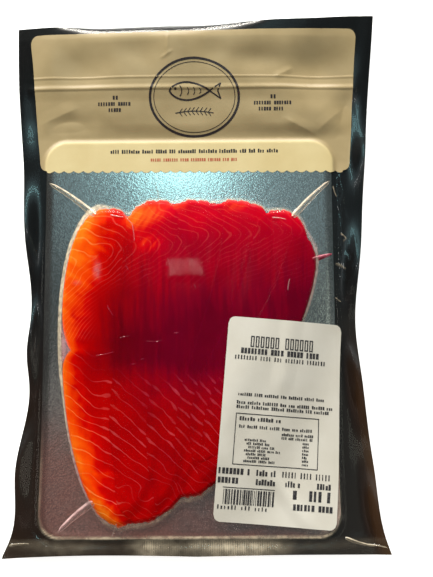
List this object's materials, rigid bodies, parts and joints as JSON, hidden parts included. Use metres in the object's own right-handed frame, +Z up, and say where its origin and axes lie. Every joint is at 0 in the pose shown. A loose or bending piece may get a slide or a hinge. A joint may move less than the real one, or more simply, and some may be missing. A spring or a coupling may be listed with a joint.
{
  "type": "vacuum pack of sliced gravlax",
  "caption": "Flat vacuum pack with thin fanned slices of cured salmon on a foil-faced board, a printed zip header and a paper price label.",
  "frame": {"origin": "middle of the pack's footprint, on the surface that it lies on", "axes": "+Z up, out of the front that shows the fish; +Y along the pack from its foot to its header; +X to the right as seen from the front"},
  "size_m": [0.188, 0.2756, 0.011],
  "materials": {
    "film": "glossy black and clear film round red fish",
    "label": "smooth coated paper, printed"
  },
  "bodies": {
    "root": {"vacuum_pouch": "film", "price_label": "label"}
  },
  "joints": []
}
